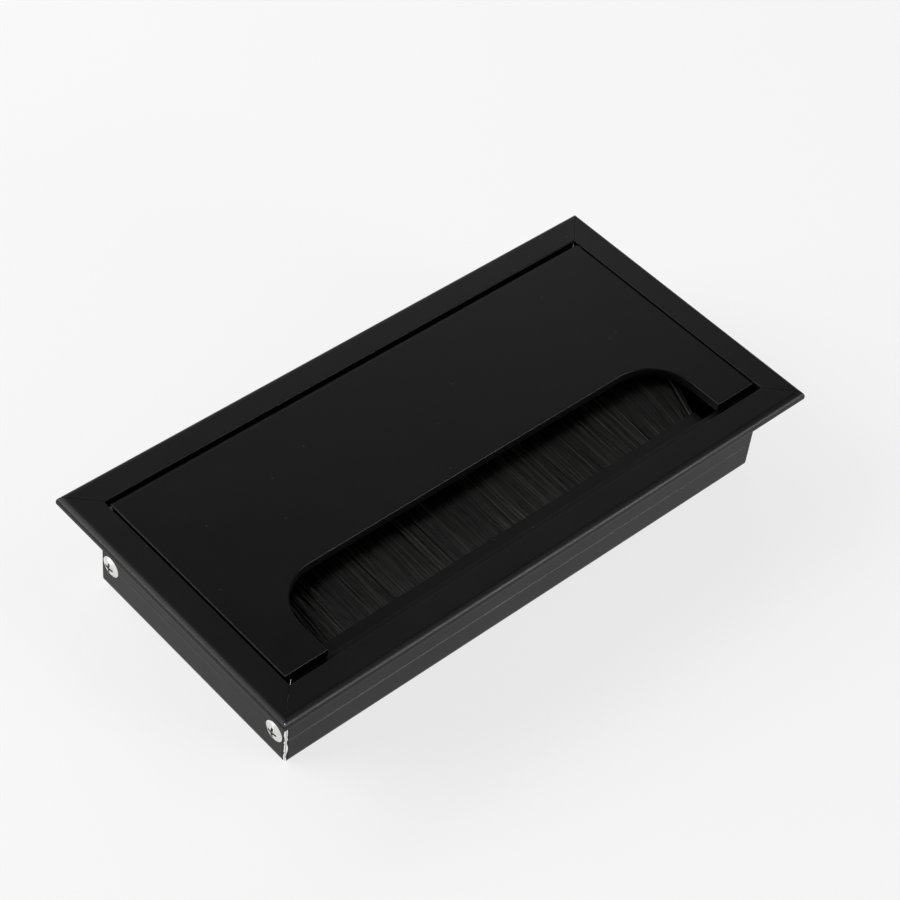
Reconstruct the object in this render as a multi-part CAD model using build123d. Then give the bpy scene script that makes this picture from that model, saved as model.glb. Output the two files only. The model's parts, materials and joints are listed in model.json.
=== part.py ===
from build123d import *
import os
from math import sqrt

# Desk cable grommet: a mitred frame of four equal extrusions, a hinged lid with a cable cut-out, and a strip
# brush held in the front rail. Millimetres. +X runs along the length, +Y towards the hinge, +Z up, and the
# origin is the centre of the base that the frame stands on.

# Frame as a whole
overall_length = 160.0
overall_width = 80.0
overall_height = 27.5

# Rail extrusion: flange, wall and foot
rail_top_width = 7.6          # flange top face, from its outer edge to the lid's recess
flange_thickness = 2.6
flange_edge_radius = 1.7      # rounded upper outer edge
flange_lower_radius = 0.4
recess_edge_radius = 0.25     # broken upper edge of the lid's recess
neck_width = 0.8              # the wall's outer face lies this far outside the recess edge
neck_radius = 0.6             # fillet between wall and flange
wall_thickness = 1.6
foot_width = 3.6              # inward foot, from the wall's inner face
foot_thickness = 1.6
foot_radius = 2.5             # rounded lower outer edge
foot_inner_radius = 1.4
guide_groove_width = 0.4      # V groove along the wall that marks the line of the screws
guide_groove_depth = 0.15

# Rail extrusion: the ledge under the lid and the brush slot beneath it
ledge_width = 2.8
ledge_thickness = 1.0
ledge_edge_radius = 0.2
slot_rib_thickness = 1.0
slot_bead_width = 0.6         # beads that narrow the slot's mouth
slot_bead_height = 0.3

# Mitred corners
mitre_gap = 0.1
corner_bevel = 0.9            # sharp vertical corner of the walls, filed off

# Lid
lid_thickness = 2.4
lid_seat_gap = 0.3            # between the lid and the ledge
lid_side_gap = 0.6
lid_rear_gap = 1.0
lid_front_gap = 2.3
lid_edge_radius = 0.3
prong_width = 11.8
cutout_depth = 21.0
cutout_radius = 12.5

# Hinge pins
pin_diameter = 1.5
pin_grip = 4.6                # length pressed into the lid
pin_reach = 2.8               # length that turns in the rail
pin_clearance = 0.05          # radial, in the rail
pin_end_room = 0.4            # beyond the pin's tip in the rail
pin_chamfer = 0.2
pin_countersink = 0.4         # bevel round the rail's hole

# Screws that draw the mitres together
screw_height = 8.7            # axis above the base
screw_diameter = 3.0
screw_length = 12.0
screw_tip_chamfer = 0.6
screw_head_diameter = 5.5
screw_head_raise = 0.7        # the domed top stands this far out of the wall
screw_head_clearance = 0.15
screw_hole_clearance = 0.15
cross_recess_width = 0.7
cross_recess_span = 2.8
cross_recess_depth = 0.9      # below the head's rim
port_standoff = 2.4           # screw axis from the wall's inner face
port_wall = 1.2
port_clearance = 0.03
port_slit = 1.4               # open side of the screw port

# Strip brush
channel_base_height = 4.4
channel_neck_height = 3.5
channel_depth = 5.6
channel_sheet = 0.5
channel_crimp_run = 0.5
channel_fold_radius = 0.6
slot_clearance = 0.1
brush_left_gap = 6.6          # from the channel's ends to the walls of the short rails
brush_right_gap = 14.6
wire_diameter = 1.4
wire_setback = 0.55           # bristles folded between the wire and the channel's base
bristle_clearance = 0.05
bristle_length = 29.0         # beyond the channel's mouth
bristle_tip_rise = 2.6        # upper and lower limits of the fanned tips, from the channel's middle
bristle_tip_drop = 3.4
bristle_fan = 4.0             # sideways splay beyond the channel's ends
bristle_fan_run = 6.0         # distance from the mouth over which the ends splay
tuft_pitch = 2.5
tuft_notch_width = 0.7        # gap between neighbouring tufts at their tips
tuft_notch_start = 4.0        # from the channel's mouth to where the tufts part

# Levels and lines that several pieces share, with inset distances measured from the flange's outer edge
top = overall_height
ledge_level = top - lid_thickness - lid_seat_gap
slot_height = channel_base_height + 2 * slot_clearance
slot_top = ledge_level - ledge_thickness
slot_bottom = slot_top - slot_height
slot_middle = (slot_top + slot_bottom) / 2
wall_outer = rail_top_width - neck_width
wall_inner = wall_outer + wall_thickness
ledge_end = rail_top_width + ledge_width
bead_start = ledge_end - slot_bead_width
foot_end = wall_inner + foot_width
port_inset = wall_inner + port_standoff
port_radius = screw_diameter / 2 + port_wall
rail_depth = max(port_inset + port_radius, foot_end, ledge_end)

lid_length = overall_length - 2 * (rail_top_width + lid_side_gap)
lid_front = -overall_width / 2 + rail_top_width + lid_front_gap
lid_rear = overall_width / 2 - rail_top_width - lid_rear_gap
cutout_length = lid_length - 2 * prong_width
pin_y = lid_rear - lid_thickness / 2
pin_z = top - lid_thickness / 2

channel_back = wall_inner + slot_clearance
channel_mouth = channel_back + channel_depth
channel_shoulder = bead_start - slot_clearance
brush_start = -overall_length / 2 + wall_inner + brush_left_gap
brush_end = overall_length / 2 - wall_inner - brush_right_gap
brush_length = brush_end - brush_start


def rail_profile():
    """Section of the extrusion: inset from the flange's outer edge along x, height along y."""
    half_groove = guide_groove_width / 2
    corners = [
        (0, top - flange_thickness, flange_lower_radius),
        (0, top, flange_edge_radius),
        (rail_top_width, top, recess_edge_radius),
        (rail_top_width, ledge_level, 0),
        (ledge_end, ledge_level, ledge_edge_radius),
        (ledge_end, slot_top - slot_bead_height, 0),
        (bead_start, slot_top - slot_bead_height, 0),
        (bead_start, slot_top, 0),
        (wall_inner, slot_top, 0),
        (wall_inner, slot_bottom, 0),
        (bead_start, slot_bottom, 0),
        (bead_start, slot_bottom + slot_bead_height, 0),
        (ledge_end, slot_bottom + slot_bead_height, 0),
        (ledge_end, slot_bottom - slot_rib_thickness, 0),
        (wall_inner, slot_bottom - slot_rib_thickness, 0),
        (wall_inner, foot_thickness, foot_inner_radius),
        (foot_end, foot_thickness, 0),
        (foot_end, 0, 0),
        (wall_outer, 0, foot_radius),
        (wall_outer, screw_height - half_groove, 0),
        (wall_outer + guide_groove_depth, screw_height, 0),
        (wall_outer, screw_height + half_groove, 0),
        (wall_outer, top - flange_thickness, neck_radius),
    ]
    outline = FilletPolyline(
        [(inset, height) for inset, height, _ in corners],
        radius=[radius for _, _, radius in corners],
        close=True,
    )
    port = Pos(port_inset, screw_height)
    bore = port * Circle(screw_diameter / 2 + port_clearance)
    slit = port * Pos(port_radius, 0) * Rectangle(2 * port_radius, port_slit)
    return make_face(outline) + port * Circle(port_radius) - bore - slit


def rail(length, across):
    """One mitred length of the extrusion along X, with its outer edge at -across / 2 in Y."""
    start = Plane(origin=(-length / 2, -across / 2, 0), x_dir=(0, 1, 0), z_dir=(1, 0, 0))
    bar = extrude(start * rail_profile(), length)

    reach = rail_depth + 1
    half = length / 2 - mitre_gap / sqrt(2)
    plan = Polygon(
        (-half, 0),
        (half, 0),
        (half - reach, reach),
        (-half + reach, reach),
        align=None,
    )
    bar &= extrude(Pos(0, -across / 2) * plan, top)

    below_flange = top - flange_thickness
    for end in (-1, 1):
        corner = Pos(end * (length / 2 - wall_outer), -across / 2 + wall_outer, below_flange / 2)
        facet = Box(2 * sqrt(2) * corner_bevel, sqrt(2) * corner_bevel, below_flange)
        bar -= corner * Rot(0, 0, 45 * end) * facet
    return bar


def screw():
    """Raised countersunk screw along +X, with the rim of its head at the origin."""
    shank = screw_diameter / 2
    head = screw_head_diameter / 2
    dome_radius = (head**2 + screw_head_raise**2) / (2 * screw_head_raise)
    halfway_out = sqrt(dome_radius**2 - (head / 2) ** 2) - dome_radius + screw_head_raise
    dome = ThreePointArc((-screw_head_raise, 0), (-halfway_out, head / 2), (0, head))
    flanks = Polyline(
        (0, head),
        (head - shank, shank),
        (screw_length - screw_tip_chamfer, shank),
        (screw_length, shank - screw_tip_chamfer),
        (screw_length, 0),
        (-screw_head_raise, 0),
    )
    body = revolve(make_face(dome + flanks), Axis.X)
    arm = Box(2 * cross_recess_depth, cross_recess_width, cross_recess_span)
    return body - arm - Rot(90, 0, 0) * arm


def screw_hole():
    """Clearance hole and countersink along +X for a screw whose head's rim is flush with a wall at the origin."""
    shank = screw_diameter / 2 + screw_hole_clearance
    head = screw_head_diameter / 2 + screw_head_clearance
    reach = rail_depth - wall_outer
    half_section = Polyline((0, 0), (0, head), (head - shank, shank), (reach, shank), (reach, 0), close=True)
    return revolve(make_face(half_section), Axis.X)


def screw_places():
    """Where the four screws enter: on the short rails' walls, in line with the long rails' ports."""
    x = overall_length / 2 - wall_outer
    y = overall_width / 2 - port_inset
    left = [Pos(-x, side * y, screw_height) for side in (-1, 1)]
    right = [Pos(x, side * y, screw_height) * Rot(0, 0, 180) for side in (-1, 1)]
    return left, right


def pin_hole():
    """Blind hole along +X in a short rail, countersunk where it meets the recess face at the origin."""
    radius = pin_diameter / 2 + pin_clearance
    mouth = radius + pin_countersink
    depth = pin_reach + pin_end_room
    half_section = Polyline(
        (0, 0),
        (0, mouth),
        (pin_countersink, radius),
        (depth, radius),
        (depth, 0),
        close=True,
    )
    return revolve(make_face(half_section), Axis.X)


def short_rail(turn, screw_entries, pin_side):
    """A short rail with its screw holes and hinge hole; turn places it at one end of the frame."""
    bar = Rot(0, 0, turn) * rail(overall_width, overall_length)
    for entry in screw_entries:
        bar -= entry * screw_hole()
    recess = Pos(pin_side * (overall_length / 2 - rail_top_width), pin_y, pin_z)
    outward = Rot(0, 0, 0 if pin_side > 0 else 180)
    return bar - recess * outward * pin_hole()


def lid():
    """Flat panel with a half-round rear edge about the hinge axis and a U cut-out in its front edge."""
    half = lid_thickness / 2
    side_view = Plane(origin=(-lid_length / 2, 0, 0), x_dir=(0, 1, 0), z_dir=(1, 0, 0))
    flat = Pos((lid_front + pin_y) / 2, pin_z) * Rectangle(pin_y - lid_front, lid_thickness)
    section = flat + Pos(pin_y, pin_z) * Circle(half)
    panel = extrude(side_view * section, lid_length)

    cutout = RectangleRounded(cutout_length, 2 * cutout_depth, cutout_radius)
    panel -= extrude(Pos(0, lid_front, top - lid_thickness) * cutout, lid_thickness)

    top_face = panel.faces().filter_by(Axis.Z).sort_by(Axis.Z)[-1]
    straight_rear = top_face.edges().sort_by(Axis.Y)[-1]
    panel = fillet([edge for edge in top_face.edges() if edge != straight_rear], lid_edge_radius)

    bore = Rot(0, 90, 0) * Cylinder(pin_diameter / 2, 2 * pin_grip)
    for side in (-1, 1):
        panel -= Pos(side * lid_length / 2, pin_y, pin_z) * bore
    return panel


def hinge_pin(side):
    """Steel pin from inside the lid's edge out into the short rail; side is -1 for left and 1 for right."""
    length = pin_grip + lid_side_gap + pin_reach
    inner_end = lid_length / 2 - pin_grip
    pin = Cylinder(pin_diameter / 2, length)
    pin = chamfer(pin.edges().filter_by(GeomType.CIRCLE), pin_chamfer)
    return Pos(side * (inner_end + length / 2), pin_y, pin_z) * Rot(0, 90, 0) * pin


def brush_section():
    """Plane of the brush's section: inset from the front flange's edge along x, height from mid-slot along y."""
    return Plane(origin=(brush_start, -overall_width / 2, slot_middle), x_dir=(0, 1, 0), z_dir=(1, 0, 0))


def crimped_outline(inset_by):
    """Upper half of the channel's section, moved inwards by a wall or a clearance, from base to mouth."""
    base = channel_base_height / 2 - inset_by
    neck = channel_neck_height / 2 - inset_by
    return [
        (channel_back + inset_by, base),
        (channel_shoulder - channel_crimp_run, base),
        (channel_shoulder, neck),
        (channel_mouth, neck),
    ]


def mirrored(upper):
    """Close an upper half outline with its mirror image below."""
    return upper + [(inset, -height) for inset, height in reversed(upper)]


def brush_channel():
    """Folded strip with a wide base and a crimped neck, open towards the rear."""
    fold = channel_fold_radius
    outer = FilletPolyline(mirrored(crimped_outline(0)), radius=[fold, 0, 0, 0, 0, 0, 0, fold], close=True)
    hollow = Polyline(mirrored(crimped_outline(channel_sheet)), close=True)
    section = make_face(outer) - make_face(hollow)
    return extrude(brush_section() * section, brush_length)


def wire_place():
    """Middle of the core wire in the brush's section."""
    return channel_back + channel_sheet + wire_setback + wire_diameter / 2


def brush_wire():
    """Core wire that the bristles are folded over."""
    section = Pos(wire_place(), 0) * Circle(wire_diameter / 2)
    return extrude(brush_section() * section, brush_length)


def brush_bristles():
    """Bristles gripped in the channel, fanning out towards the rear and the sides and parted into tufts."""
    tip = channel_mouth + bristle_length
    root = crimped_outline(channel_sheet + bristle_clearance)
    side = [(tip, bristle_tip_rise), (tip, -bristle_tip_drop)]
    lower = [(inset, -height) for inset, height in reversed(root)]
    section = make_face(Polyline(root + side + lower, close=True))
    section -= Pos(wire_place(), 0) * Circle(wire_diameter / 2)
    bristles = Pos(-bristle_fan) * extrude(brush_section() * section, brush_length + 2 * bristle_fan)

    root_y, mouth_y, tips_y = [-overall_width / 2 + inset for inset in (channel_back, channel_mouth, tip)]
    splayed_y = mouth_y + bristle_fan_run
    plan = Polygon(
        (brush_start, root_y),
        (brush_end, root_y),
        (brush_end, mouth_y),
        (brush_end + bristle_fan, splayed_y),
        (brush_end + bristle_fan, tips_y),
        (brush_start - bristle_fan, tips_y),
        (brush_start - bristle_fan, splayed_y),
        (brush_start, mouth_y),
        align=None,
    )
    bristles &= extrude(plan, top)

    notch_depth = bristle_length - tuft_notch_start
    notch = Polygon((0, -notch_depth), (tuft_notch_width / 2, 0), (-tuft_notch_width / 2, 0), align=None)
    notch_count = int((brush_length + 2 * bristle_fan) / tuft_pitch) - 1
    middle = (brush_start + brush_end) / 2
    notches = [
        Pos(middle + (index - (notch_count - 1) / 2) * tuft_pitch, tips_y) * notch
        for index in range(notch_count)
    ]
    return bristles - extrude(Sketch() + notches, top)


left_screws, right_screws = screw_places()
pieces = {
    "front_rail": rail(overall_length, overall_width),
    "rear_rail": Rot(0, 0, 180) * rail(overall_length, overall_width),
    "left_rail": short_rail(-90, left_screws, -1),
    "right_rail": short_rail(90, right_screws, 1),
    "lid": lid(),
    "left_hinge_pin": hinge_pin(-1),
    "right_hinge_pin": hinge_pin(1),
    "brush_channel": brush_channel(),
    "brush_wire": brush_wire(),
    "brush_bristles": brush_bristles(),
    "frame_screws": Compound(children=[place * screw() for place in left_screws + right_screws]),
}

os.makedirs("parts", exist_ok=True)
for name, piece in pieces.items():
    export_step(piece, f"parts/{name}.step")
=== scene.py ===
# %% [markdown]
# # Dressing a desk cable grommet
#
# The object is a flip-lid cable outlet for a desk top: a mitred frame of black anodised aluminium, a
# hinged lid with a wide cut-out, and a strip brush that closes the cut-out round the cables. Its solids
# already have their true shapes and sizes, so this lesson leaves them where they are. It adds what solids
# can't carry: the finish of each metal, and the thousands of separate filaments that make a brush look
# like a brush.

# %% Load the solids as a fixed frame
import json
import math

import bpy
from mathutils import Euler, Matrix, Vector


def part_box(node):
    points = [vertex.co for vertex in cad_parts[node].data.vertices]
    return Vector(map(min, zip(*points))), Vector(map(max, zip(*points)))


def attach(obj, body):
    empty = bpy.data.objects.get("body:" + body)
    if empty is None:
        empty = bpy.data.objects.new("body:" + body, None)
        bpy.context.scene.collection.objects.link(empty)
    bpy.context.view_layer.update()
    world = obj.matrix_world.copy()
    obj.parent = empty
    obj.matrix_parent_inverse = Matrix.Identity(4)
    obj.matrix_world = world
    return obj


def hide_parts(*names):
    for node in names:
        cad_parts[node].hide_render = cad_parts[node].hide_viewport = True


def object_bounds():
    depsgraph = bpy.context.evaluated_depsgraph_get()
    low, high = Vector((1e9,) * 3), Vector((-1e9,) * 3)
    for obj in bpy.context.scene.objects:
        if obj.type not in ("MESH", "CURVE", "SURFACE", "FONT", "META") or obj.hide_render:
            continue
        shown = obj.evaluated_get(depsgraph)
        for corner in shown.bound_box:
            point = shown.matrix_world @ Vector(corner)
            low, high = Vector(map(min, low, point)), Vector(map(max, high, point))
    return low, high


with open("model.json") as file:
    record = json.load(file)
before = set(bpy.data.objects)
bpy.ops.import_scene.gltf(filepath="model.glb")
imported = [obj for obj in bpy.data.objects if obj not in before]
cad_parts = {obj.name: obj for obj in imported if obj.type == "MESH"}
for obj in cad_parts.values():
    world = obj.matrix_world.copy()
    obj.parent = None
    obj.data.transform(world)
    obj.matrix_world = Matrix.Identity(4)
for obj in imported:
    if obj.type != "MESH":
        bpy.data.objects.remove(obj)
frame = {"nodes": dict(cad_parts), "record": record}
nodes = frame["nodes"]
cad_low, cad_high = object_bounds()
mm = 0.001
print("Solids:", sorted(nodes))
print("Size in mm:", [round(side / mm, 2) for side in cad_high - cad_low])

# %% [markdown]
# ## Two helpers
#
# Colours are easiest to write as the hex values that a picture editor shows, but Blender's shaders reckon
# in linear light, so one function converts them. The other adds a node to any tree, shader or geometry:
# its settings are keywords, and each input is either a plain value or the output of an earlier node.

# %% Colour and node helpers
def linear(hex_colour):
    """An sRGB hex colour as linear red, green, blue and alpha."""
    channels = [int(hex_colour[start:start + 2], 16) / 255 for start in (0, 2, 4)]
    return [c / 12.92 if c <= 0.04045 else ((c + 0.055) / 1.055) ** 2.4 for c in channels] + [1.0]


def add(tree, kind, inputs={}, **settings):
    """Add a node with its settings; each input is a value, a socket or an earlier node."""
    made = tree.nodes.new(kind)
    for name, value in settings.items():
        setattr(made, name, value)
    for key, value in inputs.items():
        if isinstance(value, bpy.types.Node):
            value = value.outputs[0]
        if isinstance(value, bpy.types.NodeSocket):
            tree.links.new(value, made.inputs[key])
        else:
            made.inputs[key].default_value = value
    return made


print("Mid grey in linear light:", [round(channel, 3) for channel in linear("808080")])

# %% [markdown]
# ## The camera
#
# The view is from the front left, looking down at about 46 degrees, with a longish lens and a slight
# roll. The place and turn were worked out from the eight corners of the flange, whose real size is known,
# so a point of the solids falls on the same point of the picture.

# %% Camera
sensor_width_mm = 36.0
lens_mm = 99.36
camera_place_mm = (-286.63, -270.40, 439.54)
camera_turn_degrees = (43.341, -4.841, -41.762)

camera_data = bpy.data.cameras.new("camera")
camera_data.sensor_width = sensor_width_mm
camera_data.lens = lens_mm
camera = bpy.data.objects.new("camera", camera_data)
camera.location = [mm * part for part in camera_place_mm]
camera.rotation_euler = Euler([math.radians(angle) for angle in camera_turn_degrees])
bpy.context.scene.collection.objects.link(camera)
bpy.context.scene.camera = camera
print("Camera is", round(camera.location.length / mm), "mm from the base's centre")

# %% [markdown]
# ## The floor
#
# A pale sheet of paper under the object. A floor that is lit to pure white would need more light than the
# object should have, so three quarters of the paper's look is an even white that only the camera, and rays
# that a surface mirrors or lets through, can see. The rest is ordinary diffuse paper, which keeps the soft
# shadow round the base.

# %% Floor
floor_side_mm = 6000.0
floor_gap_mm = 0.02
paper_colour = "f4f4f4"
paper_glow = 0.75          # the share of even white

half_side = mm * floor_side_mm / 2
level = cad_low.z - mm * floor_gap_mm
floor_mesh = bpy.data.meshes.new("floor")
corners = [(-1, -1), (1, -1), (1, 1), (-1, 1)]
floor_mesh.from_pydata([(half_side * x, half_side * y, level) for x, y in corners], [], [(0, 1, 2, 3)])
floor = bpy.data.objects.new("floor", floor_mesh)
bpy.context.scene.collection.objects.link(floor)

paper = bpy.data.materials.new("white_paper")
paper.use_nodes = True
tree = paper.node_tree
tree.nodes.clear()
ray = add(tree, "ShaderNodeLightPath").outputs
seen = add(tree, "ShaderNodeMath", {0: ray["Is Camera Ray"], 1: ray["Is Glossy Ray"]}, operation="MAXIMUM")
seen = add(tree, "ShaderNodeMath", {0: seen, 1: ray["Is Transmission Ray"]}, operation="MAXIMUM")
share = add(tree, "ShaderNodeMath", {0: seen, 1: paper_glow}, operation="MULTIPLY")
diffuse = add(tree, "ShaderNodeBsdfDiffuse", {"Color": linear(paper_colour)})
glow = add(tree, "ShaderNodeEmission", {"Color": linear("ffffff")})
mixed = add(tree, "ShaderNodeMixShader", {0: share, 1: diffuse, 2: glow})
add(tree, "ShaderNodeOutputMaterial", {"Surface": mixed})
floor_mesh.materials.append(paper)
print("Floor at", round(level / mm, 3), "mm")

# %% [markdown]
# ## Soft studio light
#
# Matt black metal shows its form by what it mirrors, far more than by its own colour. So the lights are
# large panels. The main one stands behind on the left, with one straight behind. A dim one behind on the
# right is what the flat tops mirror, so it sets their tone. Two low ones stand where the rounded edge of
# the flange mirrors them, behind on the left and in front on the right, and draw pale lines along it. A
# taller one in front and a high one on the right fill what the others leave dark.

# %% Lights
panel_distance_mm = 1100
room_brightness = 0.02


def softbox(name, azimuth, elevation, width_mm, height_mm, brightness):
    """A panel that faces the object, in front at azimuth 0, on the right at 90; brightness 1 is white."""
    lamp = bpy.data.lights.new(name, "AREA")
    lamp.shape = "RECTANGLE"
    lamp.size = mm * width_mm
    lamp.size_y = mm * height_mm
    lamp.energy = brightness * math.pi * lamp.size * lamp.size_y
    panel = bpy.data.objects.new(name, lamp)
    turn, rise = math.radians(azimuth), math.radians(elevation)
    towards = Vector((math.sin(turn) * math.cos(rise), -math.cos(turn) * math.cos(rise), math.sin(rise)))
    panel.location = mm * panel_distance_mm * towards
    panel.rotation_euler = towards.to_track_quat("Z", "Y").to_euler()
    bpy.context.scene.collection.objects.link(panel)


softbox("back_left_panel", -132, 27, width_mm=860, height_mm=900, brightness=4.4)
softbox("left_low_panel", -120, 5, width_mm=520, height_mm=260, brightness=9.0)
softbox("back_panel", -174, 38, width_mm=700, height_mm=460, brightness=2.8)
softbox("back_right_panel", 136, 33, width_mm=600, height_mm=360, brightness=1.7)
softbox("front_low_panel", 26, 6, width_mm=480, height_mm=300, brightness=22.0)
softbox("front_panel", 24, 36, width_mm=520, height_mm=600, brightness=1.0)
softbox("high_panel", 50, 57, width_mm=420, height_mm=420, brightness=2.0)

world = bpy.data.worlds.new("grey_room")
world.use_nodes = True
world.node_tree.nodes["Background"].inputs["Color"].default_value = linear("ffffff")
world.node_tree.nodes["Background"].inputs["Strength"].default_value = room_brightness
bpy.context.scene.world = world
bpy.context.scene.view_settings.view_transform = "Standard"

# %% [markdown]
# ## Black anodised aluminium
#
# The rails and the lid are aluminium, blasted with fine grit, then anodised and dyed black. The dyed
# oxide is a clear hard layer over black pores, so it mirrors like enamel and not like bare metal: a very
# dark base with no metallic, and a wide, soft sheen. The pores swallow part of the light, so the sheen is
# weaker than that of paint. Three patterns break it up, all in millimetres: the blasted grain, slow
# cloudy changes where the dye took differently, and a few specks of dust. Without them so dark a surface
# looks like a hole in the picture.

# %% Anodised finish
dust = "55555a"
anodised_sheen = 0.16
grain_mm = 0.45            # real blasting grit is near 0.08 mm; drawn coarser so that it shows
cloud_mm = 18.0
dust_apart_mm, dust_mm = 5.0, 0.13
anodised_roughness = (0.36, 0.42)
grain_strength = 0.1
grain_depth_mm = 0.05
noise_low, noise_high = 0.3, 0.7   # most values of a noise pattern lie between these


def black_anodised(name, black_dye, pale_dye):
    """Blasted and black-dyed aluminium; the dye's tone drifts between two near blacks."""
    material = bpy.data.materials.new(name)
    material.use_nodes = True
    tree = material.node_tree
    shader = tree.nodes["Principled BSDF"]
    shader.inputs["Specular IOR Level"].default_value = anodised_sheen
    place = add(tree, "ShaderNodeTexCoord").outputs["Object"]
    size = add(tree, "ShaderNodeMapping", {"Vector": place, "Scale": [1 / mm] * 3}, name="millimetres")
    grain = add(tree, "ShaderNodeTexNoise", {"Vector": size, "Scale": 1 / grain_mm, "Detail": 2.0})
    clouds = add(tree, "ShaderNodeTexNoise", {"Vector": size, "Scale": 1 / cloud_mm, "Detail": 3.0})
    specks = add(tree, "ShaderNodeTexVoronoi", {"Vector": size, "Scale": 1 / dust_apart_mm})
    speck = {0: specks.outputs["Distance"], 1: dust_mm / dust_apart_mm}
    speck = add(tree, "ShaderNodeMath", speck, operation="LESS_THAN")

    dye = {0: clouds, 6: linear(black_dye), 7: linear(pale_dye)}
    dye = add(tree, "ShaderNodeMix", dye, data_type="RGBA").outputs[2]
    dusty = {0: speck, 6: dye, 7: linear(dust)}
    colour = add(tree, "ShaderNodeMix", dusty, data_type="RGBA", name="colour").outputs[2]
    low, high = anodised_roughness
    gloss = {"Value": clouds, "From Min": noise_low, "From Max": noise_high, "To Min": low, "To Max": high}
    roughness = add(tree, "ShaderNodeMapRange", gloss).outputs[0]
    relief = {"Strength": grain_strength, "Distance": mm * grain_depth_mm, "Height": grain}
    bump = add(tree, "ShaderNodeBump", relief)
    tree.links.new(colour, shader.inputs["Base Color"])
    tree.links.new(roughness, shader.inputs["Roughness"])
    tree.links.new(bump.outputs[0], shader.inputs["Normal"])
    return material


def dress(material, *names):
    """Give solids one material, in place of the plain one that they came with."""
    for name in names:
        nodes[name].data.materials.clear()
        nodes[name].data.materials.append(material)
    print(material.name, "on", names)


rail_finish = black_anodised("black_anodised_rail", "0f0f11", "161618")
dress(rail_finish, "front_rail", "rear_rail", "left_rail", "right_rail")
dress(black_anodised("black_anodised_lid", "090909", "0f0f0f"), "lid")

# %% [markdown]
# ## Bare metal at the mitres
#
# The rails were finished as long bars, then sawn at 45 degrees and screwed together, and the corners of
# the walls were filed flush. So bright metal shows there in a ragged strip. A point lies on a mitre where
# its distances from the middle, along x and along y, differ by half the difference of length and width,
# and that one rule finds all four corners. The strip lies on the walls' outer corners, under the flange.
# On the flange itself only the front left joint, which took the knocks, shows a few bright specks. The
# mask turns the rails' own finish to metal.

# %% Bare metal on the rails
bare_metal = "f0f0ee"
mitre_offset_mm = (cad_high.x - cad_high.y) / mm
below_flange_mm = 0.3      # the strip stops this far under the flange
wall_top_mm = frame["record"]["mounts"][0]["pos_m"][2] / mm - below_flange_mm
wall_from_mm = 32.0        # half the width over the walls, less the filed corner
strip_mm = 0.55            # half the strip's width on the walls, before it is made ragged
strip_least, strip_most = 0.3, 1.3  # shares of that half width between which the ragged edge wanders
ragged_per_mm = 0.8
ragged_low, ragged_high = 0.3, 0.6
knock_low, knock_high = 0.5, 0.7    # only the peaks of the ragged pattern leave specks on the flange
speck_band_mm = 0.11
knocked_corner_mm = -106.5  # x plus y, beyond which a point of the flange is at the front left joint

tree = rail_finish.node_tree
shader = tree.nodes["Principled BSDF"]
size = tree.nodes["millimetres"].outputs[0]
part = add(tree, "ShaderNodeSeparateXYZ", {0: size}).outputs
far_x = add(tree, "ShaderNodeMath", {0: part["X"]}, operation="ABSOLUTE")
far_y = add(tree, "ShaderNodeMath", {0: part["Y"]}, operation="ABSOLUTE")
apart = add(tree, "ShaderNodeMath", {0: far_x, 1: far_y}, operation="SUBTRACT")
apart = add(tree, "ShaderNodeMath", {0: apart, 1: mitre_offset_mm}, operation="SUBTRACT")
apart = add(tree, "ShaderNodeMath", {0: apart}, operation="ABSOLUTE")

outside = add(tree, "ShaderNodeMath", {0: far_y, 1: wall_from_mm}, operation="GREATER_THAN")
below = add(tree, "ShaderNodeMath", {0: part["Z"], 1: wall_top_mm}, operation="LESS_THAN")
wall = add(tree, "ShaderNodeMath", {0: outside, 1: below}, operation="MULTIPLY")
ragged = add(tree, "ShaderNodeTexNoise", {"Vector": size, "Scale": ragged_per_mm, "Detail": 4.0})
strip = {"Value": ragged, "From Min": ragged_low, "From Max": ragged_high}
strip.update({"To Min": strip_least * strip_mm, "To Max": strip_most * strip_mm})
strip = add(tree, "ShaderNodeMapRange", strip)
strip = add(tree, "ShaderNodeMath", {0: strip, 1: wall}, operation="MULTIPLY")

corner = add(tree, "ShaderNodeMath", {0: part["X"], 1: part["Y"]}, operation="ADD")
corner = add(tree, "ShaderNodeMath", {0: corner, 1: knocked_corner_mm}, operation="LESS_THAN")
above = add(tree, "ShaderNodeMath", {0: 1.0, 1: below}, operation="SUBTRACT")
corner = add(tree, "ShaderNodeMath", {0: corner, 1: above}, operation="MULTIPLY")
knocks = {"Value": ragged, "From Min": knock_low, "From Max": knock_high, "To Max": speck_band_mm}
knocks = add(tree, "ShaderNodeMapRange", knocks)
band = add(tree, "ShaderNodeMath", {0: knocks, 1: corner, 2: strip}, operation="MULTIPLY_ADD")
bare = add(tree, "ShaderNodeMath", {0: apart, 1: band}, operation="LESS_THAN")

worn = {0: bare, 6: tree.nodes["colour"].outputs[2], 7: linear(bare_metal)}
worn = add(tree, "ShaderNodeMix", worn, data_type="RGBA")
tree.links.new(worn.outputs[2], shader.inputs["Base Color"])
tree.links.new(bare.outputs[0], shader.inputs["Metallic"])
print("Mitres lie where |x| - |y| is", round(mitre_offset_mm, 2), "mm")

# %% [markdown]
# ## Screws, pins, wire and channel
#
# The frame screws are bright zinc-plated steel: a pale metal with a soft, slightly uneven gloss. The
# hinge pins are ground steel of a darker grey, and the brush's core wire is drawn steel. The channel that
# grips the bristles is folded strip with a matt black coating, close to the rails in tone and grain.

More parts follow.
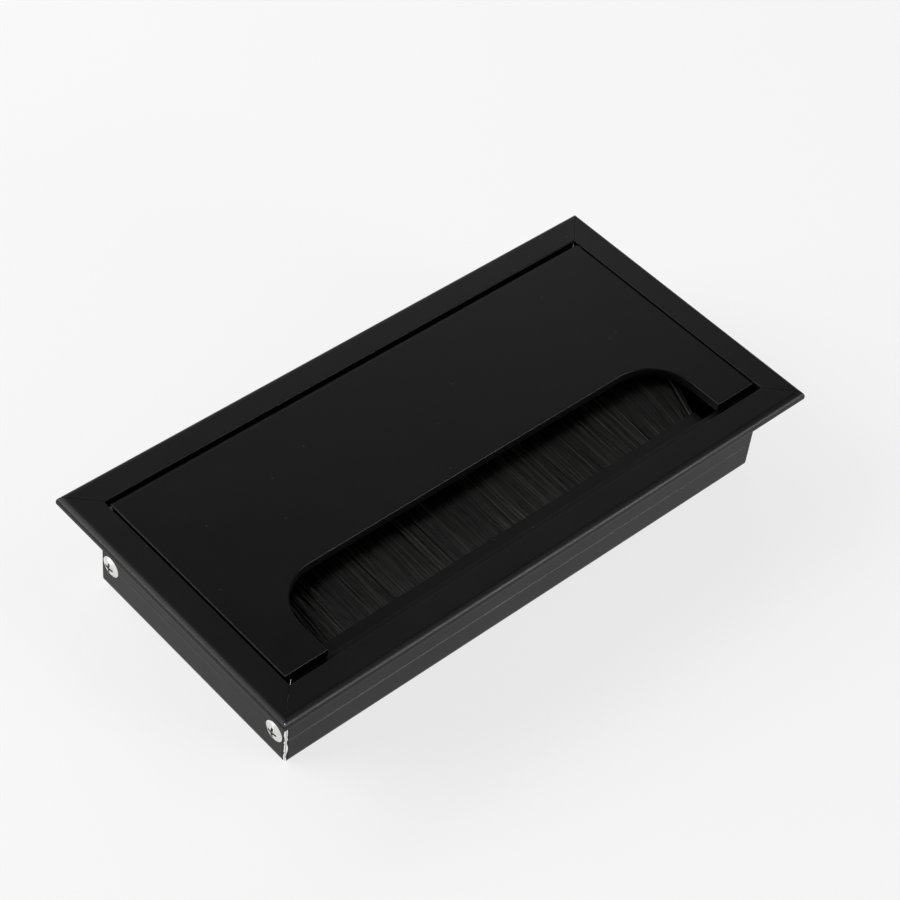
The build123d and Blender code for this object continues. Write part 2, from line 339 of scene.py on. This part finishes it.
# %% Small metal parts
def metal(name, pale, dark, roughness_range, patch_mm):
    """A bare or plated metal whose tone and gloss change a little from patch to patch."""
    material = bpy.data.materials.new(name)
    material.use_nodes = True
    tree = material.node_tree
    shader = tree.nodes["Principled BSDF"]
    shader.inputs["Metallic"].default_value = 1.0
    place = add(tree, "ShaderNodeTexCoord").outputs["Object"]
    patches = {"Vector": place, "Scale": 1 / (mm * patch_mm), "Detail": 3.0}
    patches = add(tree, "ShaderNodeTexNoise", patches)
    tones = {0: patches, 6: linear(dark), 7: linear(pale)}
    tone = add(tree, "ShaderNodeMix", tones, data_type="RGBA")
    low, high = roughness_range
    gloss = {"Value": patches, "From Min": noise_low, "From Max": noise_high, "To Min": low, "To Max": high}
    gloss = add(tree, "ShaderNodeMapRange", gloss)
    tree.links.new(tone.outputs[2], shader.inputs["Base Color"])
    tree.links.new(gloss.outputs[0], shader.inputs["Roughness"])
    return material


dress(metal("zinc_plated_steel", "fafaf8", "c4c4c0", (0.24, 0.40), patch_mm=0.9), "frame_screws")
pin_steel = metal("ground_steel", "727272", "5a5a5a", (0.36, 0.44), patch_mm=0.4)
dress(pin_steel, "left_hinge_pin", "right_hinge_pin")
dress(metal("drawn_steel_wire", "bcbcbc", "8f8f8f", (0.3, 0.42), patch_mm=0.5), "brush_wire")
dress(black_anodised("black_coated_strip", "0a0a0a", "101010"), "brush_channel")

# %% [markdown]
# ## Nylon filament
#
# Brush filament is drawn nylon, dyed through: smooth along its length, so each one carries a thin
# highlight. No two are quite the same black. Each leg of a filament carries a number from 0 to 1, stored on
# the mesh under the name filament_shade, and the material turns that number into its tone. Most legs stay
# near black, with a tone that differs at random. The few with the highest numbers are painted pale, as
# painted highlights that stand in for glints of light along single filaments.

# %% Nylon
nylon_ior = 1.53
nylon_roughness = 0.3
nylon_sheen = 0.3
# The palest tone is a painted highlight: the few filaments that reach it stand in for glints of light.
darkest_filament, palest_glinting_filament = "080707", "413e39"

nylon = bpy.data.materials.new("black_nylon_filament")
nylon.use_nodes = True
tree = nylon.node_tree
shader = tree.nodes["Principled BSDF"]
shader.inputs["IOR"].default_value = nylon_ior
shader.inputs["Roughness"].default_value = nylon_roughness
shader.inputs["Specular IOR Level"].default_value = nylon_sheen
shade = add(tree, "ShaderNodeAttribute", attribute_name="filament_shade")
tones = {0: shade.outputs["Fac"], 6: linear(darkest_filament), 7: linear(palest_glinting_filament)}
tone = add(tree, "ShaderNodeMix", tones, data_type="RGBA")
tree.links.new(tone.outputs[2], shader.inputs["Base Color"])
print("Refractive index of nylon:", nylon_ior)

# %% [markdown]
# ## The strip brush
#
# In a strip brush each filament is a hairpin: folded round a core wire, with both legs crimped in the
# channel and pointing the same way. Thousands of them follow one rule, which is what Geometry Nodes are
# for. The tree starts from a grid in which every row is one filament of eleven points. It bends each row
# into its hairpin, gives each filament its own layer, length and lean, and sweeps a three-sided section
# along it. At their real thickness of a fifth of a millimetre the filaments are less than a pixel wide,
# so three sides are plenty.

# %% Sizes of the brush, read from the solids
channel_low, channel_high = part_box("brush_channel")
bristle_low, bristle_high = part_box("brush_bristles")
wire_low, wire_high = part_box("brush_wire")
channel_sheet_mm = 0.5
neck_half_mm = 1.2
filament_mm = 0.2
right_splay_mm = 7.0       # more than on the left, so that the bristles reach towards the slot's right end
tuft_pitch_mm = 2.5
tuft_pinch = 0.1           # share of the way that a tip moves to the middle of its tuft
lean_mm = 0.6
bow_mm = 0.35
trim_mm = 0.5
middle = (channel_low.z + channel_high.z) / 2
brush_sizes = {
    "Start": channel_low.x,
    "End": channel_high.x,
    "Middle": middle,
    "Wire Place": (wire_low.y + wire_high.y) / 2,
    "Wire Radius": (wire_high.z - wire_low.z) / 2,
    "Fold Room": wire_low.y - channel_low.y - mm * channel_sheet_mm,
    "Mouth": channel_high.y,
    "Neck Half": mm * neck_half_mm,
    "Free Length": bristle_high.y - channel_high.y,
    "Tip Rise": bristle_high.z - middle,
    "Tip Drop": middle - bristle_low.z,
    "Thickness": mm * filament_mm,
    "Left Splay": channel_low.x - bristle_low.x,
    "Right Splay": mm * right_splay_mm,
    "Tuft Start": (channel_low.x + channel_high.x) / 2,
    "Tuft Pitch": mm * tuft_pitch_mm,
    "Tuft Pinch": tuft_pinch,
    "Lean": mm * lean_mm,
    "Bow": mm * bow_mm,
    "Trim": mm * trim_mm,
}
print({name: round(value, 5) for name, value in brush_sizes.items()})

# %% The tree and its inputs
brush_tree = bpy.data.node_groups.new("hairpin_brush", "GeometryNodeTree")
brush_tree.interface.new_socket("Geometry", in_out="OUTPUT", socket_type="NodeSocketGeometry")
brush_kinds = {"Filaments": "NodeSocketInt", "Seed": "NodeSocketInt", "Material": "NodeSocketMaterial"}
brush_kinds.update({name: "NodeSocketFloat" for name in brush_sizes})
brush_sockets = {}
for name, kind in brush_kinds.items():
    socket = brush_tree.interface.new_socket(name, in_out="INPUT", socket_type=kind)
    brush_sockets[name] = socket.identifier
given = add(brush_tree, "NodeGroupInput").outputs
print("Inputs:", list(brush_sockets))

# %% [markdown]
# A grid numbers its points row by row, so dividing a point's number by eleven gives its filament, and the
# remainder its step along the hairpin. Step 5 is the fold behind the wire. Steps 4 and 6 pass beside the
# wire, 3 and 7 leave the channel's mouth, and 0 and 10 are the two tips. Each filament, and each of its
# legs, then has a number of its own to draw lots with.

# %% Number the filaments and their steps
points_each = 11
fold_step = 5
wire_step = 1              # steps from the fold to the wire's side
mouth_step = 2             # steps from the fold to the channel's mouth
leg_stride = 3             # numbers for two legs and the fold between them
seed_stride = 10000        # keeps the numbers of one seed apart from those of the next

rows = {"Vertices X": given["Filaments"], "Vertices Y": points_each}
grid = add(brush_tree, "GeometryNodeMeshGrid", rows)
number = add(brush_tree, "GeometryNodeInputIndex")
row = add(brush_tree, "ShaderNodeMath", {0: number, 1: points_each}, operation="DIVIDE")
row = add(brush_tree, "ShaderNodeMath", {0: row}, operation="FLOOR")
step = add(brush_tree, "ShaderNodeMath", {0: number, 1: points_each}, operation="MODULO")
step = add(brush_tree, "ShaderNodeMath", {0: fold_step, 1: step}, operation="SUBTRACT")
side = add(brush_tree, "ShaderNodeMath", {0: step}, operation="SIGN")
from_fold = add(brush_tree, "ShaderNodeMath", {0: step}, operation="ABSOLUTE")
filament = {0: given["Seed"], 1: seed_stride, 2: row}
filament = add(brush_tree, "ShaderNodeMath", filament, operation="MULTIPLY_ADD")
leg = add(brush_tree, "ShaderNodeMath", {0: filament, 1: leg_stride, 2: side}, operation="MULTIPLY_ADD")


def lots(low, high, number, draw):
    """A random value between two limits for each number, different in each draw."""
    drawn = {2: low, 3: high, "ID": number, "Seed": draw}
    return add(brush_tree, "FunctionNodeRandomValue", drawn).outputs[1]


print("A hairpin has", points_each, "points and is folded at point", fold_step)

# %% [markdown]
# Seen from the channel's end, every hairpin passes the same four stations: the fold, the wire's side, the
# channel's mouth and the tip. A chain of three mixes carries a point from one station to the next. The
# same chain serves twice: once for the distance along the bristle, and once for its height.

# %% Three stretches between four stations
past_wire = add(brush_tree, "ShaderNodeMath", {0: from_fold, 1: wire_step}, operation="SUBTRACT")
past_mouth = add(brush_tree, "ShaderNodeMath", {0: from_fold, 1: mouth_step}, operation="SUBTRACT")
reach = {0: past_mouth, 1: fold_step - mouth_step}
reach = add(brush_tree, "ShaderNodeMath", reach, operation="DIVIDE", use_clamp=True)


def through_stations(fold, wire, mouth, tip):
    """A value that changes from fold to wire to mouth to tip along each leg."""
    value = add(brush_tree, "ShaderNodeMix", {0: from_fold, 2: fold, 3: wire})
    value = add(brush_tree, "ShaderNodeMix", {0: past_wire, 2: value, 3: mouth})
    return add(brush_tree, "ShaderNodeMix", {0: reach, 2: value, 3: tip})


print("Stations: fold, wire, mouth, tip")

# %% [markdown]
# Each filament has a layer between the middle of the bundle and its outside. Its fold lies deeper, and
# its tips fan further, the further out its layer is. The tips are trimmed a little unevenly, and each leg
# bows slightly, as drawn filament does after it has been wound on a spool.

# %% Distance along the bristle, and height
layer_least, layer_most = 0.03, 0.97  # 0 is the bundle's middle, 1 its outside
fold_least, fold_most = 0.2, 0.8      # shares of the room behind the wire

layer = lots(layer_least, layer_most, filament, draw=1)
trim = lots(0.0, 1.0, leg, draw=2)
bow = lots(-1.0, 1.0, leg, draw=3)

depth = add(brush_tree, "ShaderNodeMapRange", {"Value": layer, "To Min": fold_least, "To Max": fold_most})
depth = add(brush_tree, "ShaderNodeMath", {0: depth, 1: given["Fold Room"]}, operation="MULTIPLY")
beside = add(brush_tree, "ShaderNodeMath", {0: depth, 1: given["Wire Radius"]}, operation="ADD")
behind = add(brush_tree, "ShaderNodeMath", {0: given["Wire Place"], 1: beside}, operation="SUBTRACT")
tip = add(brush_tree, "ShaderNodeMath", {0: given["Mouth"], 1: given["Free Length"]}, operation="ADD")
cut = add(brush_tree, "ShaderNodeMath", {0: trim, 1: given["Trim"]}, operation="MULTIPLY")
tip = add(brush_tree, "ShaderNodeMath", {0: tip, 1: cut}, operation="SUBTRACT")
distance = through_stations(behind, given["Wire Place"], given["Mouth"], tip)

neck = add(brush_tree, "ShaderNodeMath", {0: layer, 1: given["Neck Half"]}, operation="MULTIPLY")
fan = add(brush_tree, "ShaderNodeMath", {0: given["Tip Rise"], 1: given["Tip Drop"]}, operation="ADD")
fan = add(brush_tree, "ShaderNodeMath", {0: fan, 1: 2}, operation="DIVIDE")
spread = add(brush_tree, "ShaderNodeMath", {0: layer, 1: fan}, operation="MULTIPLY")
height = through_stations(0.0, beside, neck, spread)
height = add(brush_tree, "ShaderNodeMath", {0: height, 1: side}, operation="MULTIPLY")
droop = add(brush_tree, "ShaderNodeMath", {0: given["Tip Rise"], 1: fan}, operation="SUBTRACT")
droop = add(brush_tree, "ShaderNodeMath", {0: droop, 1: reach}, operation="MULTIPLY")
height = add(brush_tree, "ShaderNodeMath", {0: height, 1: droop}, operation="ADD")
arch = add(brush_tree, "ShaderNodeMath", {0: reach, 1: math.pi}, operation="MULTIPLY")
arch = add(brush_tree, "ShaderNodeMath", {0: arch}, operation="SINE")
arch = add(brush_tree, "ShaderNodeMath", {0: arch, 1: bow}, operation="MULTIPLY")
arch = {0: arch, 1: given["Bow"], 2: height}
height = add(brush_tree, "ShaderNodeMath", arch, operation="MULTIPLY_ADD")
height = add(brush_tree, "ShaderNodeMath", {0: height, 1: given["Middle"]}, operation="ADD")
print("Distance and height are set")

# %% [markdown]
# Along the strip the roots are spread evenly, with a little chance. Towards the tips the filaments gather
# into tufts, and each leg leans a little by itself. The crimp squeezes the bundle, so past the mouth the
# last few millimetres at each end have nothing beside them and splay outwards. How near a root is to the
# strip's end, raised to a high power, is almost nothing except there.

# %% Place along the strip
splay_power = 8            # the higher, the fewer filaments splay
splay_bend = 0.5           # under 1, most of the splay comes just past the mouth

jitter = lots(0.0, 1.0, filament, draw=4)
lean = lots(-1.0, 1.0, leg, draw=5)
spot = add(brush_tree, "ShaderNodeMath", {0: row, 1: jitter}, operation="ADD")
first = add(brush_tree, "ShaderNodeMath", {0: given["Start"], 1: given["Thickness"]}, operation="ADD")
last = add(brush_tree, "ShaderNodeMath", {0: given["End"], 1: given["Thickness"]}, operation="SUBTRACT")
strip = {"Value": spot, "From Max": given["Filaments"], "To Min": first, "To Max": last}
root = add(brush_tree, "ShaderNodeMapRange", strip)

from_middle = {"Value": spot, "From Max": given["Filaments"], "To Min": -1.0, "To Max": 1.0}
from_middle = add(brush_tree, "ShaderNodeMapRange", from_middle)
splay = add(brush_tree, "ShaderNodeMath", {0: from_middle, 1: splay_power}, operation="POWER")
along = add(brush_tree, "ShaderNodeMath", {0: spot, 1: given["Filaments"]}, operation="DIVIDE")
width = add(brush_tree, "ShaderNodeMix", {0: along, 2: given["Left Splay"], 3: given["Right Splay"]})
splay = add(brush_tree, "ShaderNodeMath", {0: splay, 1: width}, operation="MULTIPLY")
opened = add(brush_tree, "ShaderNodeMath", {0: reach, 1: splay_bend}, operation="POWER")
outer = add(brush_tree, "ShaderNodeMath", {0: splay, 1: opened, 2: root}, operation="MULTIPLY_ADD")

tuft = add(brush_tree, "ShaderNodeMath", {0: root, 1: given["Tuft Start"]}, operation="SUBTRACT")
tuft = add(brush_tree, "ShaderNodeMath", {0: tuft, 1: given["Tuft Pitch"]}, operation="FLOORED_MODULO")
half_pitch = add(brush_tree, "ShaderNodeMath", {0: given["Tuft Pitch"], 1: 2}, operation="DIVIDE")
tuft = add(brush_tree, "ShaderNodeMath", {0: half_pitch, 1: tuft}, operation="SUBTRACT")
gather = add(brush_tree, "ShaderNodeMath", {0: tuft, 1: given["Tuft Pinch"]}, operation="MULTIPLY")
gather = add(brush_tree, "ShaderNodeMath", {0: lean, 1: given["Lean"], 2: gather}, operation="MULTIPLY_ADD")
across = add(brush_tree, "ShaderNodeMath", {0: gather, 1: reach, 2: outer}, operation="MULTIPLY_ADD")
low_end = add(brush_tree, "ShaderNodeMath", {0: opened, 1: given["Left Splay"]}, operation="MULTIPLY")
low_end = add(brush_tree, "ShaderNodeMath", {0: first, 1: low_end}, operation="SUBTRACT")
high_end = {0: opened, 1: given["Right Splay"], 2: last}
high_end = add(brush_tree, "ShaderNodeMath", high_end, operation="MULTIPLY_ADD")
across = add(brush_tree, "ShaderNodeClamp", {"Value": across, "Min": low_end, "Max": high_end})
print("Roots spread along", round((channel_high.x - channel_low.x) / mm, 1), "mm")

# %% [markdown]
# The rows of the grid now lie as hairpins. Edges that join two points with neighbouring numbers belong to
# one filament, and they become curves. A small triangle swept along each curve, with closed ends, makes
# it solid.

# %% Sweep the filaments and write the mesh
filament_count = 3100
brush_seed = 7
section_sides = 3
pale_glint_rarity = 6.0           # the higher, the fewer filaments are pale
neighbours = 1.5           # points whose numbers differ by less are next to each other on one filament

place = add(brush_tree, "ShaderNodeCombineXYZ", {"X": across, "Y": distance, "Z": height})
bent = add(brush_tree, "GeometryNodeSetPosition", {"Geometry": grid, "Position": place})
# Each leg's number, raised to a power, sets its tone: most stay dark with random tone, and the few near 1
# are painted pale as painted glints.
shade = lots(0.0, 1.0, leg, draw=6)
shade = add(brush_tree, "ShaderNodeMath", {0: shade, 1: pale_glint_rarity}, operation="POWER")
named = {"Geometry": bent, "Name": "filament_shade", "Value": shade}
named = add(brush_tree, "GeometryNodeStoreNamedAttribute", named, data_type="FLOAT", domain="POINT")
ends = add(brush_tree, "GeometryNodeInputMeshEdgeVertices").outputs
jump = add(brush_tree, "ShaderNodeMath", {0: ends[0], 1: ends[1]}, operation="SUBTRACT")
jump = add(brush_tree, "ShaderNodeMath", {0: jump}, operation="ABSOLUTE")
same = add(brush_tree, "ShaderNodeMath", {0: jump, 1: neighbours}, operation="LESS_THAN")
curves = add(brush_tree, "GeometryNodeMeshToCurve", {"Mesh": named, "Selection": same})
radius = add(brush_tree, "ShaderNodeMath", {0: given["Thickness"], 1: 2}, operation="DIVIDE")
section = {"Resolution": section_sides, "Radius": radius}
section = add(brush_tree, "GeometryNodeCurvePrimitiveCircle", section)
swept = {"Curve": curves, "Profile Curve": section, "Fill Caps": True}
swept = add(brush_tree, "GeometryNodeCurveToMesh", swept)
smooth = add(brush_tree, "GeometryNodeSetShadeSmooth", {"Geometry": swept})
real = add(brush_tree, "GeometryNodeRealizeInstances", {"Geometry": smooth})
finished = add(brush_tree, "GeometryNodeSetMaterial", {"Geometry": real, "Material": given["Material"]})
add(brush_tree, "NodeGroupOutput", {"Geometry": finished})

brush = bpy.data.objects.new("brush_filaments", bpy.data.meshes.new("brush_filaments"))
bpy.context.scene.collection.objects.link(brush)
maker = brush.modifiers.new("hairpins", "NODES")
maker.node_group = brush_tree
brush_settings = {"Filaments": filament_count, "Seed": brush_seed, "Material": nylon, **brush_sizes}
for name, value in brush_settings.items():
    maker[brush_sockets[name]] = value
made = brush.evaluated_get(bpy.context.evaluated_depsgraph_get())
brush.data = bpy.data.meshes.new_from_object(made)
brush.modifiers.remove(maker)
brush.data.name = "brush_filaments"
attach(brush, "frame")
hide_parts("brush_bristles")
brush.data.calc_loop_triangles()
print("Brush:", len(brush.data.loop_triangles), "triangles in", filament_count, "hairpins")
